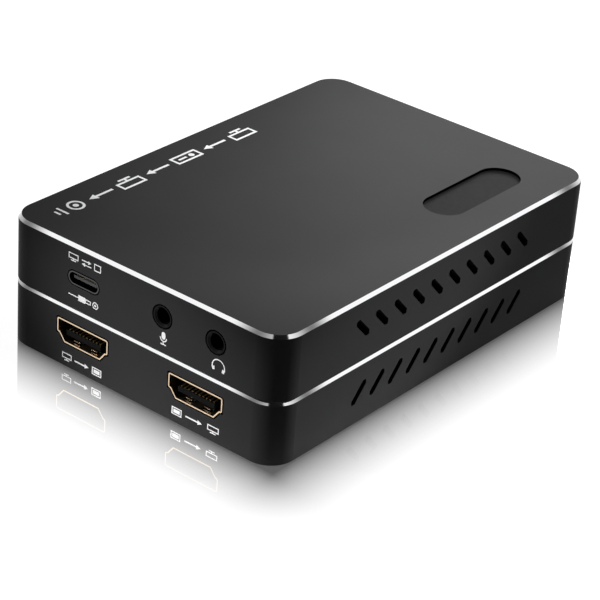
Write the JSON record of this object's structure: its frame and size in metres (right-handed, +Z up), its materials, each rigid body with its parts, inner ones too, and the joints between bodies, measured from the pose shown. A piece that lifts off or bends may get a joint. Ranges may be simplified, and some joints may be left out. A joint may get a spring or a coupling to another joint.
{
  "type": "video capture box",
  "caption": "Flat rounded black metal box in two halves, with slanted side vents, that takes video in and out, a data lead and audio plugs.",
  "frame": {"origin": "middle of the flat underside, on the surface that the box rests on", "axes": "+X to the right along the port face, -Y out of the port face, +Z up"},
  "size_m": [0.078, 0.112, 0.0308],
  "materials": {
    "case_metal": "fine-blasted, black anodised, with bright cut edges",
    "window_plastic": "smoked, satin",
    "screw_black": "black oxide",
    "board_laminate": "dark solder mask",
    "spacer_brass": "turned",
    "socket_gold": "champagne plated sheet",
    "socket_dark": "dark plated sheet",
    "insulator_black": "moulded",
    "contact_gold": "gold flash",
    "jack_plastic": "moulded, satin",
    "spring_nickel": "nickel plated",
    "guide_clear": "clear",
    "lamp_white": "white",
    "chip_black": "moulded",
    "pad_silicone": "soft",
    "sink_metal": "black anodised",
    "can_metal": "bright",
    "coil_ferrite": "pressed powder",
    "ceramic_tan": "fired",
    "print_white": "printed ink of the signs on the case"
  },
  "bodies": {
    "root": {"upper_shell": "case_metal", "lower_shell": "case_metal", "status_window": "window_plastic", "light_guide": "guide_clear", "status_lamps": "lamp_white", "case_screws": "screw_black", "lower_board": "board_laminate", "upper_board": "board_laminate", "board_spacers": "spacer_brass", "video_in_shell": "socket_gold", "video_in_insulator": "insulator_black", "video_in_contacts": "contact_gold", "video_out_shell": "socket_gold", "video_out_insulator": "insulator_black", "video_out_contacts": "contact_gold", "data_port_shell": "socket_dark", "data_port_insulator": "insulator_black", "data_port_contacts": "contact_gold", "mic_jack_body": "jack_plastic", "mic_jack_springs": "spring_nickel", "headphone_jack_body": "jack_plastic", "headphone_jack_springs": "spring_nickel", "stack_header": "insulator_black", "stack_pins": "contact_gold", "stack_socket": "insulator_black", "receiver_chip": "chip_black", "splitter_chip": "chip_black", "capture_chip": "chip_black", "memory_chips": "chip_black", "port_controller_chip": "chip_black", "audio_chip": "chip_black", "flash_chip": "chip_black", "voltage_regulators": "chip_black", "thermal_pad": "pad_silicone", "receiver_heat_sink": "sink_metal", "lower_crystal": "can_metal", "upper_crystal": "can_metal", "lower_coils": "coil_ferrite", "upper_coils": "coil_ferrite", "can_capacitors": "can_metal", "ceramic_capacitors": "ceramic_tan"}
  },
  "joints": []
}
